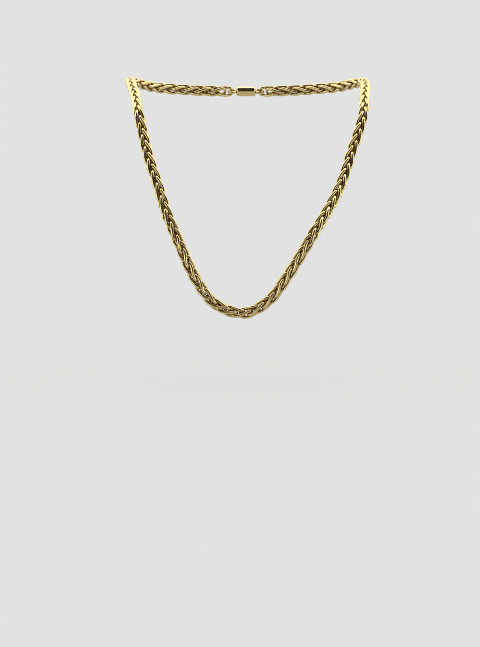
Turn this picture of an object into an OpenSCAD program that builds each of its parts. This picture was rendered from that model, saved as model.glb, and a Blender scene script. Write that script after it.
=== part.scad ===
// Wheat chain necklace in its worn form, closed at the nape by a plain barrel clasp.
// +Z is up and the wearer faces -Y. The origin is at the nape, on the face of the clasp that
// touches the back of the neck. The chain starts at the clasp's -X eye, runs over that shoulder,
// round the front and back over the other shoulder to the +X eye.

/* [Chain] */
// Diameter of the wire that the links are bent from
wire_d = 1.3; // [1:0.02:1.5]
// Distance that neighbouring links keep beyond the wire's diameter
link_play = 0.04; // [0.02:0.01:0.2]

/* [Clasp] */
// Diameter of the clasp's barrel
barrel_d = 4.6; // [3.6:0.1:6]
// Length of the clasp's barrel
barrel_len = 9; // [6:0.5:12]
// Radius of the barrel's rounded edges
barrel_edge = 0.9; // [0.3:0.1:1.5]
// Diameter of the wire of the clasp's eyes
eye_wire_d = 1.1; // [0.9:0.05:1.4]
// Clearance between the wire of an eye and the end link that hangs in it
eye_play = 0.35; // [0.2:0.05:0.6]

/* [Hidden] */

// Where the chain runs: x, y and z of its centre line, and its roll about that line in degrees.
// The nape itself is added at both ends.
ROUTE = [
    [-10, 2, 0, -125],
    [-27, -1, 0.5, -125],
    [-42.5, -9.5, 1.5, -125],
    [-52, -24.5, 3.5, -125],
    [-52, -42, 2, -125],
    [-49.5, -60.5, -4, -125],
    [-47.5, -76, -12, -124],
    [-45.5, -81.5, -20.5, -123],
    [-42.5, -89.5, -32, -125],
    [-38.5, -97, -43.5, -131],
    [-34.5, -103.5, -56, -140],
    [-29, -108.5, -68.5, -153],
    [-22, -111.5, -83.5, -172],
    [-13.5, -112, -94.5, -188],
    [-1.5, -112, -98.5, -207],
    [9, -112, -93.5, -226],
    [17, -111.5, -83.5, -239],
    [28, -108.5, -66, -237],
    [36.5, -98, -52.5, -227],
    [42, -89, -41.5, -220],
    [46, -80, -30, -215],
    [49.5, -73.5, -20.5, -215],
    [52, -66.5, -12, -219],
    [53, -54, -4, -222],
    [54, -36, 2, -222],
    [51, -23, 3, -222],
    [42, -11, 1.5, -222],
    [26, -2, 0.5, -222],
    [10, 2, 0, -222],
];
nape = [0, barrel_d / 2, 0];
first_roll = ROUTE[0][3];
last_roll = ROUTE[len(ROUTE) - 1][3];
path_steps = 24;

// The form of a link. Its lengths are shares of the closest distance between two wires' centre
// lines. A link is an oval ring that turns about the chain's line from one end to the other, and
// its neighbours lie a quarter turn round and turn the other way.
wire_pitch = wire_d + link_play;
ring_len = 3.38 * wire_pitch;
ring_squareness = 0.25 * wire_pitch;
ring_w = 1.58 * wire_pitch;
ring_fullness = 0.155 * wire_pitch;
ring_turn = 30.5;
quarter_turn = 90;
ring_tip = ring_len - ring_squareness;
ring_sides = 10;
wire_sides = 5;
wire_corner = 18;

// Two links of one column lie this far apart, and the other column's links lie halfway between
chain_pitch = 4.91 * wire_pitch;

// Each eye holds the end link's tip clear of its own wire, and its hole is a little roomier
eye_room = 0.5;
eye_hole_d = wire_d + 2 * eye_play + eye_room;
eye_r = (eye_hole_d + eye_wire_d) / 2;
eye_reach = barrel_len / 2 + 2 * eye_r;
eye_to_tip = (wire_d + eye_wire_d) / 2 + eye_play;

function unit(v) = v / norm(v);

// One stretch of a smooth line through b and c
function curve(a, b, c, d, t) =
    (2 * b + (c - a) * t + (2 * a - 5 * b + 4 * c - d) * t * t + (3 * b - a - 3 * c + d) * t * t * t) / 2;

// The path: the route's points with the nape at both ends, smoothed and measured
STOPS = concat(
    [[for (i = [0:2]) ROUTE[len(ROUTE) - 1][i]]],
    [nape],
    [for (p = ROUTE) [p[0], p[1], p[2]]],
    [nape],
    [[for (i = [0:2]) ROUTE[0][i]]]);
ROLLS = concat([first_roll, first_roll], [for (p = ROUTE) p[3]], [last_roll, last_roll]);
last_stop = len(STOPS) - 2;
PATH = [for (i = [1:last_stop - 1], j = [0:path_steps - 1])
    curve(STOPS[i - 1], STOPS[i], STOPS[i + 1], STOPS[i + 2], j / path_steps)];
PATH_ROLL = [for (i = [1:last_stop - 1], j = [0:path_steps - 1])
    curve(ROLLS[i - 1], ROLLS[i], ROLLS[i + 1], ROLLS[i + 2], j / path_steps)];
LINE = concat(PATH, [STOPS[last_stop]]);
LINE_ROLL = concat(PATH_ROLL, [ROLLS[last_stop]]);
RUN = [for (i = 0, s = 0; i < len(LINE); s = s + norm(LINE[min(i + 1, len(LINE) - 1)] - LINE[i]), i = i + 1) s];
path_len = RUN[len(RUN) - 1];
X_AT = [for (i = [0:len(RUN) - 1]) [RUN[i], LINE[i][0]]];
Y_AT = [for (i = [0:len(RUN) - 1]) [RUN[i], LINE[i][1]]];
Z_AT = [for (i = [0:len(RUN) - 1]) [RUN[i], LINE[i][2]]];
ROLL_AT = [for (i = [0:len(RUN) - 1]) [RUN[i], LINE_ROLL[i]]];

// A point of the path, the path's direction there, and the side that roll is measured from
facing = unit([0, -1, 1]);
look_ahead = 0.6;
function path_at(s) = [lookup(s, X_AT), lookup(s, Y_AT), lookup(s, Z_AT)];
function along(s) = unit(path_at(s + look_ahead) - path_at(s - look_ahead));
function across(v, line) = unit(v - (v * line) * line);

// The links are spread evenly from eye to eye, an even number of them
first_at = eye_reach - eye_to_tip + ring_tip;
last_at = path_len - first_at;
links = 2 * ceil((last_at - first_at + chain_pitch / 2) / chain_pitch);
link_step = (last_at - first_at) / (links - 1);
half_links = links / 2;

// Direction in a plane across the path, a degrees round from its roll
function spoke(line, a) =
    let (n = across(facing, line), b = cross(line, n))
    cos(a) * n + sin(a) * b;

// Turn of link k's plane where it lies z past its middle
function ring_angle(k, z) =
    quarter_turn * (k % 2) + (k % 2 == 0 ? 1 : -1) * ring_turn * sin(quarter_turn * z / ring_tip);

// A point of link k's centre line and the direction square to its plane, t degrees round
function ring_point(k, t) =
    let (z = -ring_len * cos(t) + ring_squareness * cos(3 * t),
         r = ring_w * sin(t) + ring_fullness * sin(3 * t),
         s = first_at + k * link_step + z,
         a = lookup(s, ROLL_AT) + ring_angle(k, z),
         line = along(s))
    [path_at(s) + r * spoke(line, a), spoke(line, a + quarter_turn)];

// The corners of link k's wire, a few round each point of its centre line
function wire_corners(k) =
    let (ring = [for (i = [0:ring_sides - 1]) ring_point(k, (i + 0.5) * 360 / ring_sides)])
    [for (i = [0:ring_sides - 1])
        let (before = ring[(i + ring_sides - 1) % ring_sides][0],
             after = ring[(i + 1) % ring_sides][0],
             line = unit(after - before),
             n = across(ring[i][1], line),
             b = cross(line, n))
        for (j = [0:wire_sides - 1])
            let (a = wire_corner + j * 360 / wire_sides)
            ring[i][0] + wire_d / 2 * (cos(a) * n + sin(a) * b)];

function corner(i, j) = (i % ring_sides) * wire_sides + j % wire_sides;

WIRE_FACES = [for (i = [0:ring_sides - 1], j = [0:wire_sides - 1], half = [0, 1])
    half == 0
        ? [corner(i, j), corner(i + 1, j + 1), corner(i + 1, j)]
        : [corner(i, j), corner(i, j + 1), corner(i + 1, j + 1)]];

module link(k) {
    polyhedron(points = wire_corners(k), faces = WIRE_FACES);
}

module chain_left() {
    color("gold")
        for (k = [0:half_links - 1])
            link(k);
}

module chain_right() {
    color("gold")
        for (k = [half_links:links - 1])
            link(k);
}

// An eye lies square to the plane of the link that hangs in it. Side is -1 or 1 and tip is the
// angle of that link's tip.
module eye(side, tip) {
    translate([side * (barrel_len / 2 + eye_r), 0, 0])
        rotate([45 - tip, 0, 0])
            rotate_extrude($fn = 96)
                translate([eye_r, 0])
                    circle(d = eye_wire_d, $fn = 48);
}

module barrel() {
    flat = barrel_len / 2 - barrel_edge;
    rotate([0, 90, 0])
        rotate_extrude($fn = 96) {
            translate([0, -barrel_len / 2])
                square([barrel_d / 2 - barrel_edge, barrel_len]);
            translate([0, -flat])
                square([barrel_d / 2, 2 * flat]);
            for (end = [-1, 1])
                translate([barrel_d / 2 - barrel_edge, end * flat])
                    intersection() {
                        circle(r = barrel_edge, $fn = 64);
                        translate([0, -barrel_edge])
                            square([barrel_edge, 2 * barrel_edge]);
                    }
        }
}

module clasp() {
    color("goldenrod")
        translate(nape) {
            barrel();
            eye(-1, first_roll + ring_angle(0, -ring_tip));
            eye(1, last_roll + ring_angle(links - 1, ring_tip));
        }
}

chain_left();
chain_right();
clasp();
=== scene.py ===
"""A wheat chain necklace in polished gold plate, closed and held in its worn form.

Every link is bent from round wire, drawn out to an oval and turned about the chain's line, and
passes through the next link and the one after it, as the real chain is linked.
"""
import bisect
import math

import bpy
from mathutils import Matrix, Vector


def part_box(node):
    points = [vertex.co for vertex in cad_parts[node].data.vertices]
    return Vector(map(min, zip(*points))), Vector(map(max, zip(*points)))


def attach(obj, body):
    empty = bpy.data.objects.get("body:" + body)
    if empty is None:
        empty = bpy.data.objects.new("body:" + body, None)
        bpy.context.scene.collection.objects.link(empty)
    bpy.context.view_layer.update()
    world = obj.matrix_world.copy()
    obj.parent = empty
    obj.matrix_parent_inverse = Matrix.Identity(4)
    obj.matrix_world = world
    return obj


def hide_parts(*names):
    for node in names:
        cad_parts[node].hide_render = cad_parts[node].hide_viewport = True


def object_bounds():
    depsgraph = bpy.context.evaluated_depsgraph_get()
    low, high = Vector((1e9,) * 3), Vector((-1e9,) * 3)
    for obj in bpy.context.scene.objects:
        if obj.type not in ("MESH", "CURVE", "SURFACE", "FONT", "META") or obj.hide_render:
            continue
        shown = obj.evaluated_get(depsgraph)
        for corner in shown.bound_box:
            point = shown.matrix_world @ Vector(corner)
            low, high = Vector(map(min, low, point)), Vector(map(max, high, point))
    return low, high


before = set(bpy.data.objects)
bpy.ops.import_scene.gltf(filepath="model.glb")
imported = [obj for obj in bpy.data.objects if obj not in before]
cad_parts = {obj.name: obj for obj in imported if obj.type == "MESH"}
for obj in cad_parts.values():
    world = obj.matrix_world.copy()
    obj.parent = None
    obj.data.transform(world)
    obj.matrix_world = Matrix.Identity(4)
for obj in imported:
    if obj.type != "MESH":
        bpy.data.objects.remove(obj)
cad_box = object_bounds()

# Sizes, in metres and degrees

MM = 0.001
QUARTER_TURN = 90

# The chain's wire, and how far neighbouring links keep the centre lines of their wires apart
WIRE_D = 1.3 * MM
LINK_PLAY = 0.04 * MM
WIRE_PITCH = WIRE_D + LINK_PLAY
WIRE_SIDES = 14

# A link: half its length, half its width, how square its ends are, how full its sides are, and
# how far it turns each way
LINK_REACH = 3.38 * WIRE_PITCH
LINK_HALF_WIDTH = 1.58 * WIRE_PITCH
LINK_SQUARENESS = 0.25 * WIRE_PITCH
LINK_FULLNESS = 0.155 * WIRE_PITCH
LINK_TURN = 30.5
LINK_TIP = LINK_REACH - LINK_SQUARENESS
LINK_STEPS = 48

# Two links of one column lie at most this far apart, with one of the other column between them
COLUMN_PITCH = 4.91 * WIRE_PITCH

# The clasp: its barrel's diameter is read from the frame, and its eyes carry the end links
BARREL_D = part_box("clasp")[1].y
BARREL_LEN = 9 * MM
EYE_WIRE_D = 1.1 * MM
EYE_PLAY = 0.35 * MM
EYE_ROOM = 0.5 * MM
EYE_HOLE_D = WIRE_D + 2 * EYE_PLAY + EYE_ROOM
EYE_REACH = BARREL_LEN / 2 + EYE_HOLE_D + EYE_WIRE_D
EYE_TO_TIP = (WIRE_D + EYE_WIRE_D) / 2 + EYE_PLAY
FIRST_LINK_AT = EYE_REACH - EYE_TO_TIP + LINK_TIP

# Where the chain runs: x, y and z of its centre line, and its roll about that line. The nape
# itself is added at both ends.
NAPE = Vector((0, BARREL_D / 2, 0))
ROUTE = [
    (-0.0100, 0.0020, 0.0000, -125),
    (-0.0270, -0.0010, 0.0005, -125),
    (-0.0425, -0.0095, 0.0015, -125),
    (-0.0520, -0.0245, 0.0035, -125),
    (-0.0520, -0.0420, 0.0020, -125),
    (-0.0495, -0.0605, -0.0040, -125),
    (-0.0475, -0.0760, -0.0120, -124),
    (-0.0455, -0.0815, -0.0205, -123),
    (-0.0425, -0.0895, -0.0320, -125),
    (-0.0385, -0.0970, -0.0435, -131),
    (-0.0345, -0.1035, -0.0560, -140),
    (-0.0290, -0.1085, -0.0685, -153),
    (-0.0220, -0.1115, -0.0835, -172),
    (-0.0135, -0.1120, -0.0945, -188),
    (-0.0015, -0.1120, -0.0985, -207),
    (0.0090, -0.1120, -0.0935, -226),
    (0.0170, -0.1115, -0.0835, -239),
    (0.0280, -0.1085, -0.0660, -237),
    (0.0365, -0.0980, -0.0525, -227),
    (0.0420, -0.0890, -0.0415, -220),
    (0.0460, -0.0800, -0.0300, -215),
    (0.0495, -0.0735, -0.0205, -215),
    (0.0520, -0.0665, -0.0120, -219),
    (0.0530, -0.0540, -0.0040, -222),
    (0.0540, -0.0360, 0.0020, -222),
    (0.0510, -0.0230, 0.0030, -222),
    (0.0420, -0.0110, 0.0015, -222),
    (0.0260, -0.0020, 0.0005, -222),
    (0.0100, 0.0020, 0.0000, -222),
]
ROUTE_STEPS = 24
LOOK_AHEAD = 0.6 * MM
FACING = Vector((0, -1, 1)).normalized()

# The gold plate: its own tone in the open, the painted shade in a fold, how far the painted
# shade reaches, and the share of open space over which one tone gives way to the other
OPEN_GOLD = "#EBD694"
PAINTED_SHADE_GOLD = "#966A1A"
PAINTED_SHADE_REACH = 1.6 * MM
PAINTED_SHADE_OPENNESS = (0.3, 0.95)

# The haze that polishing leaves: how wide its patches are, the stretch of the pattern that counts,
# and the roughness where it is clearest and haziest
HAZE_WIDTH = 2 * MM
HAZE_STRETCH = (0.3, 0.7)
HAZE_ROUGHNESS = (0.05, 0.12)

# The waves of the drawn wire
WAVE_LENGTH = 0.5 * MM
WAVE_DEPTH = 0.05 * MM
WAVE_STRENGTH = 0.12

# The floor: how far it lies below the chain, its width, and where it starts and ends to thin out
FLOOR_BELOW = 30 * MM
FLOOR_WIDTH = 12.0
FLOOR_CLEAR = 1.2
FLOOR_FADED = 4.5

# The paper's shade, to the eye and in the polish, and the even light on all that is matt
PAPER_SHADE = 0.8
PAPER_MIRRORED = 0.55
EVEN_LIGHT = 0.95

# The light in the polish: in front, at the back, in the dark places, and what the lamp adds to it
FRONT_LIGHT = 1.48
BACK_LIGHT = 0.9
DARK_LIGHT = 0.02
LAMP_GAIN = 1.5

# Where that light changes. Each is a stretch of y or z in a direction of length 1, and the
# camera's is a stretch of the cosine of the angle from the camera's side.
FRONT_TO_BACK = (-0.1, 0.8)
LAMP_RISE = (0.25, 0.7)
CARD_RISE = (0.22, 0.40)
CARD_END = (0.0, -0.15)
CAMERA_EDGE = (0.80, 0.88)

# The camera: how far it looks down, how far off it is and where it aims. The lens is in pixels of
# the photo, and the sensor is in millimetres.
CAMERA_DOWN = 3.0
CAMERA_SIDE = Vector((0, -math.cos(math.radians(CAMERA_DOWN)), math.sin(math.radians(CAMERA_DOWN))))
CAMERA_AWAY = 1.2
CAMERA_AIM = Vector((-0.0028, -0.1115, -0.103))
PHOTO_WIDTH = 480
LENS_PIXELS = 2791
SENSOR = 36.0


# The chain's line

def smooth(a, b, c, d, t):
    """The value t of the way from b to c, on a smooth line that also heeds a and d."""
    return (
        2 * b
        + (c - a) * t
        + (2 * a - 5 * b + 4 * c - d) * t**2
        + (3 * b - a - 3 * c + d) * t**3
    ) / 2


class ChainLine:
    """The line that the chain follows, from the nape round the front and back to the nape."""

    def __init__(self):
        places = [Vector(point[:3]) for point in ROUTE]
        rolls = [point[3] for point in ROUTE]
        places = [places[-1], NAPE] + places + [NAPE, places[0]]
        rolls = [rolls[0], rolls[0]] + rolls + [rolls[-1], rolls[-1]]
        self.places = []
        self.rolls = []
        for i in range(1, len(places) - 2):
            for step in range(ROUTE_STEPS):
                t = step / ROUTE_STEPS
                self.places.append(smooth(*places[i - 1:i + 3], t))
                self.rolls.append(smooth(*rolls[i - 1:i + 3], t))
        self.places.append(NAPE)
        self.rolls.append(rolls[-2])
        self.runs = [0.0]
        for before, after in zip(self.places, self.places[1:]):
            self.runs.append(self.runs[-1] + (after - before).length)
        self.length = self.runs[-1]

    def between(self, values, run):
        """The value at that distance along the line."""
        i = min(max(bisect.bisect_right(self.runs, run), 1), len(self.runs) - 1)
        share = (run - self.runs[i - 1]) / (self.runs[i] - self.runs[i - 1])
        return values[i - 1] + (values[i] - values[i - 1]) * min(max(share, 0), 1)

    def place(self, run):
        """The point of the line at that distance along it."""
        return self.between(self.places, run)

    def roll(self, run):
        """The chain's roll about the line at that distance along it."""
        return self.between(self.rolls, run)

    def direction(self, run):
        """The way that the line runs at that distance along it."""
        return (self.place(run + LOOK_AHEAD) - self.place(run - LOOK_AHEAD)).normalized()


def square_to(v, line):
    """The part of v that is square to a line, at length 1."""
    return (v - v.dot(line) * line).normalized()


def spoke(line, degrees):
    """A direction square to the chain's line, that many degrees round it from its facing side."""
    n = square_to(FACING, line)
    b = line.cross(n)
    a = math.radians(degrees)
    return math.cos(a) * n + math.sin(a) * b


# Links

def link_counts(line):
    """How many links the chain has, an even number, and the distance from each to the next."""
    span = line.length - 2 * FIRST_LINK_AT
    links = 2 * math.ceil((span + COLUMN_PITCH / 2) / COLUMN_PITCH)
    return links, span / (links - 1)


def link_point(line, k, run, t):
    """A point of link k's centre line at t degrees round it, and the side that its wire shows."""
    a = math.radians(t)
    along = -LINK_REACH * math.cos(a) + LINK_SQUARENESS * math.cos(3 * a)
    out = LINK_HALF_WIDTH * math.sin(a) + LINK_FULLNESS * math.sin(3 * a)
    hand = 1 if k % 2 == 0 else -1
    swing = LINK_TURN * math.sin(math.radians(QUARTER_TURN * along / LINK_TIP))
    here = run + along
    direction = line.direction(here)
    degrees = line.roll(here) + QUARTER_TURN * (k % 2) + hand * swing
    return line.place(here) + out * spoke(direction, degrees), spoke(direction, degrees + QUARTER_TURN)


def plain_ring():
    """The start of every link: a round ring of the chain's wire."""
    bpy.ops.object.select_all(action="DESELECT")
    bpy.ops.mesh.primitive_torus_add(
        major_segments=LINK_STEPS,
        minor_segments=WIRE_SIDES,
        major_radius=LINK_HALF_WIDTH,
        minor_radius=WIRE_D / 2,
    )
    bpy.ops.object.shade_smooth()
    return bpy.context.object


def bend_link(ring, line, k, run):
    """A copy of the ring, drawn out to its oval, turned about the chain's line and bent along it."""
    link = ring.copy()
    link.data = ring.data.copy()
    bpy.context.collection.objects.link(link)
    points = [link_point(line, k, run, 360 * i / LINK_STEPS) for i in range(LINK_STEPS)]
    corners = link.data.vertices
    for i, (centre, side) in enumerate(points):
        before = points[i - 1][0]
        after = points[(i + 1) % LINK_STEPS][0]
        direction = (after - before).normalized()
        side = square_to(side, direction)
        out = side.cross(direction)
        for j in range(WIRE_SIDES):
            a = math.tau * j / WIRE_SIDES
            corner = WIRE_D / 2 * (math.cos(a) * out + math.sin(a) * side)
            corners[i * WIRE_SIDES + j].co = centre + corner
    return link


def half_chain(name, ring, line, numbers, step):
    """A stretch of the chain: its links joined as one piece."""
    links = [bend_link(ring, line, k, FIRST_LINK_AT + k * step) for k in numbers]
    bpy.ops.object.select_all(action="DESELECT")
    for link in links:
        link.select_set(True)
    bpy.context.view_layer.objects.active = links[0]
    bpy.ops.object.join()
    piece = bpy.context.object
    piece.name = name
    bpy.ops.object.mode_set(mode="EDIT")
    bpy.ops.mesh.select_all(action="SELECT")
    bpy.ops.mesh.normals_make_consistent(inside=False)
    bpy.ops.object.mode_set(mode="OBJECT")
    return piece


# Materials

def linear(hex_colour):
    """An sRGB hex colour as the linear one that a shader takes."""
    shares = [int(hex_colour[i:i + 2], 16) / 255 for i in (1, 3, 5)]
    return [c / 12.92 if c <= 0.04045 else ((c + 0.055) / 1.055) ** 2.4 for c in shares] + [1]


def add_node(tree, kind, inputs=None, **settings):
    """A node with its settings. An input is a plain value or another node's socket."""
    node = tree.nodes.new(kind)
    for name, value in settings.items():
        setattr(node, name, value)
    for name, value in (inputs or {}).items():
        if isinstance(value, bpy.types.NodeSocket):
            tree.links.new(value, node.inputs[name])
        else:
            node.inputs[name].default_value = value
    return node


def gold_plate_with_painted_shade(name):
    """Pale yellow gold plated on brass and polished: a bright mirror, with warmer painted shade in its
    creases.
    """
    material = bpy.data.materials.new(name)
    material.use_nodes = True
    tree = material.node_tree
    shader = tree.nodes["Principled BSDF"]
    shader.inputs["Metallic"].default_value = 1.0
    place = add_node(tree, "ShaderNodeTexCoord").outputs["Object"]
    # Painted shade: fresh gold in the open, a deeper painted shade where wires shade each other
    shade_occlusion = add_node(tree, "ShaderNodeAmbientOcclusion", {"Distance": PAINTED_SHADE_REACH}, samples=6)
    openness = add_node(
        tree, "ShaderNodeMapRange",
        {
            "Value": shade_occlusion.outputs["AO"],
            "From Min": PAINTED_SHADE_OPENNESS[0], "From Max": PAINTED_SHADE_OPENNESS[1],
        },
    )
    tone = add_node(
        tree, "ShaderNodeMix",
        {"Factor": openness.outputs["Result"], "A": linear(PAINTED_SHADE_GOLD), "B": linear(OPEN_GOLD)},
        data_type="RGBA",
    )
    tree.links.new(tone.outputs["Result"], shader.inputs["Base Color"])
    # Polishing leaves a faint haze in patches
    haze = add_node(
        tree, "ShaderNodeTexNoise",
        {"Vector": place, "Scale": 1 / HAZE_WIDTH, "Detail": 4.0},
    )
    roughness = add_node(
        tree, "ShaderNodeMapRange",
        {
            "Value": haze.outputs["Fac"],
            "From Min": HAZE_STRETCH[0], "From Max": HAZE_STRETCH[1],
            "To Min": HAZE_ROUGHNESS[0], "To Max": HAZE_ROUGHNESS[1],
        },
    )
    tree.links.new(roughness.outputs["Result"], shader.inputs["Roughness"])
    # The drawn wire keeps fine waves, made longer here than the real ones so that they show
    waves = add_node(
        tree, "ShaderNodeTexNoise",
        {"Vector": place, "Scale": 1 / WAVE_LENGTH, "Detail": 2.0},
    )
    bump = add_node(
        tree, "ShaderNodeBump",
        {"Height": waves.outputs["Fac"], "Strength": WAVE_STRENGTH, "Distance": WAVE_DEPTH},
    )
    tree.links.new(bump.outputs["Normal"], shader.inputs["Normal"])
    return material


def matt_paper(name):
    """Pale matt studio paper, which thins out to the plain background far from the object.

    The polish mirrors it darker than the eye sees it, which gives the links' undersides some depth.
    """
    material = bpy.data.materials.new(name)
    material.use_nodes = True
    tree = material.node_tree
    shader = tree.nodes["Principled BSDF"]
    shader.inputs["Roughness"].default_value = 0.9
    shader.inputs["Specular IOR Level"].default_value = 0.0
    path = add_node(tree, "ShaderNodeLightPath").outputs
    shade = add_node(
        tree, "ShaderNodeMix",
        {"Factor": path["Is Glossy Ray"], "A": PAPER_SHADE, "B": PAPER_MIRRORED},
        data_type="FLOAT",
    ).outputs["Result"]
    colour = add_node(tree, "ShaderNodeCombineColor", {"Red": shade, "Green": shade, "Blue": shade})
    tree.links.new(colour.outputs["Color"], shader.inputs["Base Color"])
    place = add_node(tree, "ShaderNodeTexCoord").outputs["Object"]
    away = add_node(tree, "ShaderNodeVectorMath", {0: place}, operation="LENGTH")
    faded = add_node(
        tree, "ShaderNodeMapRange",
        {"Value": away.outputs["Value"], "From Min": FLOOR_CLEAR, "From Max": FLOOR_FADED},
        interpolation_type="SMOOTHSTEP",
    )
    nothing = add_node(tree, "ShaderNodeBsdfTransparent")
    mix = add_node(
        tree, "ShaderNodeMixShader",
        {0: faded.outputs["Result"], 1: shader.outputs["BSDF"], 2: nothing.outputs["BSDF"]},
    )
    tree.links.new(mix.outputs["Shader"], tree.nodes["Material Output"].inputs["Surface"])
    return material


# Studio

def studio_floor(lowest):
    """A wide pale floor below the chain."""
    bpy.ops.object.select_all(action="DESELECT")
    bpy.ops.mesh.primitive_plane_add(size=FLOOR_WIDTH, location=(0, 0, lowest - FLOOR_BELOW))
    floor = bpy.context.object
    floor.name = "floor"
    floor.data.materials.append(matt_paper("matt studio paper"))


def bright_paper(tree, parts):
    """The bright light in the polish: paper in front and at the sides, and a lamp from above."""
    paper = add_node(
        tree, "ShaderNodeMapRange",
        {
            "Value": parts["Y"],
            "From Min": FRONT_TO_BACK[0], "From Max": FRONT_TO_BACK[1],
            "To Min": FRONT_LIGHT, "To Max": BACK_LIGHT,
        },
        interpolation_type="SMOOTHSTEP",
    )
    lamp = add_node(
        tree, "ShaderNodeMapRange",
        {
            "Value": parts["Z"],
            "From Min": LAMP_RISE[0], "From Max": LAMP_RISE[1],
            "To Min": 1.0, "To Max": LAMP_GAIN,
        },
        interpolation_type="SMOOTHSTEP",
    )
    bright = add_node(
        tree, "ShaderNodeMath",
        {0: paper.outputs["Result"], 1: lamp.outputs["Result"]},
        operation="MULTIPLY",
    )
    return bright.outputs["Value"]


def dark_places(tree, direction, parts):
    """Where the polish mirrors something dark: a card high in front, or the camera's own place."""
    # The card ends just short of straight overhead
    high = add_node(
        tree, "ShaderNodeMapRange",
        {"Value": parts["Z"], "From Min": CARD_RISE[0], "From Max": CARD_RISE[1]},
        interpolation_type="SMOOTHSTEP",
    )
    ahead = add_node(
        tree, "ShaderNodeMapRange",
        {"Value": parts["Y"], "From Min": CARD_END[0], "From Max": CARD_END[1]},
        interpolation_type="SMOOTHSTEP",
    )
    card = add_node(
        tree, "ShaderNodeMath",
        {0: high.outputs["Result"], 1: ahead.outputs["Result"]},
        operation="MULTIPLY",
    )
    # The camera's place fades out about 33 degrees from the camera's side
    towards = add_node(
        tree, "ShaderNodeVectorMath",
        {0: direction, 1: CAMERA_SIDE},
        operation="DOT_PRODUCT",
    )
    camera_place = add_node(
        tree, "ShaderNodeMapRange",
        {
            "Value": towards.outputs["Value"],
            "From Min": CAMERA_EDGE[0], "From Max": CAMERA_EDGE[1],
        },
        interpolation_type="SMOOTHSTEP",
    )
    dark = add_node(
        tree, "ShaderNodeMath",
        {0: card.outputs["Value"], 1: camera_place.outputs["Result"]},
        operation="MAXIMUM",
    )
    return dark.outputs["Value"]


def studio_light():
    """Soft light all round, in which the polish mirrors bright paper and two dark things.

    The dark things are a card high in front and the camera's own place. They draw the dark streaks
    along the wires, between bright rims. From straight overhead to behind, a lamp shines down and
    lights the tops of the links. Matt paper and the background see one even light instead.
    """
    world = bpy.data.worlds.new("studio")
    bpy.context.scene.world = world
    world.use_nodes = True
    # The light has no small bright source, so its rays need no map of where it is strong
    world.cycles.sampling_method = "NONE"
    tree = world.node_tree
    direction = add_node(tree, "ShaderNodeTexCoord").outputs["Generated"]
    parts = add_node(tree, "ShaderNodeSeparateXYZ", {"Vector": direction}).outputs
    left_over = add_node(
        tree, "ShaderNodeMapRange",
        {"Value": dark_places(tree, direction, parts), "To Min": 1.0, "To Max": DARK_LIGHT},
    )
    mirrored = add_node(
        tree, "ShaderNodeMath",
        {0: bright_paper(tree, parts), 1: left_over.outputs["Result"]},
        operation="MULTIPLY",
    )
    # What matt things and the camera see
    path = add_node(tree, "ShaderNodeLightPath").outputs
    even = add_node(
        tree, "ShaderNodeMix",
        {"Factor": path["Is Camera Ray"], "A": EVEN_LIGHT, "B": PAPER_SHADE * EVEN_LIGHT},
        data_type="FLOAT",
    )
    strength = add_node(
        tree, "ShaderNodeMix",
        {"Factor": path["Is Glossy Ray"], "A": even.outputs["Result"], "B": mirrored.outputs["Value"]},
        data_type="FLOAT",
    )
    background = tree.nodes["Background"]
    background.inputs["Color"].default_value = linear("#FFFFFF")
    tree.links.new(strength.outputs["Result"], background.inputs["Strength"])


def studio_camera():
    """The camera a little above the front of the chain, which it shows as large as the photo does."""
    data = bpy.data.cameras.new("camera")
    data.sensor_fit = "HORIZONTAL"
    data.sensor_width = SENSOR
    data.lens = SENSOR * LENS_PIXELS / PHOTO_WIDTH
    camera = bpy.data.objects.new("camera", data)
    camera.location = CAMERA_AIM + CAMERA_AWAY * CAMERA_SIDE
    camera.rotation_euler = (math.radians(QUARTER_TURN - CAMERA_DOWN), 0, 0)
    bpy.context.collection.objects.link(camera)
    bpy.context.scene.camera = camera


# The necklace

line = ChainLine()
links, step = link_counts(line)
ring = plain_ring()
left = half_chain("left_links", ring, line, range(links // 2), step)
right = half_chain("right_links", ring, line, range(links // 2, links), step)
bpy.data.objects.remove(ring)

# Both materials hold the gold's colour with painted shade mixed in where wires lie close
chain_gold = gold_plate_with_painted_shade("polished gold plate with painted shade, chain")
clasp_gold = gold_plate_with_painted_shade("polished gold plate with painted shade, clasp")
for piece, node in ((left, "chain_left"), (right, "chain_right")):
    piece.data.materials.append(chain_gold)
    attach(piece, "root")
    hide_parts(node)
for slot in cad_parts["clasp"].material_slots:
    slot.material = clasp_gold

studio_floor(cad_box[0].z)
studio_light()
studio_camera()
bpy.context.scene.view_settings.view_transform = "Standard"
bpy.context.scene.cycles.filter_width = 1.0
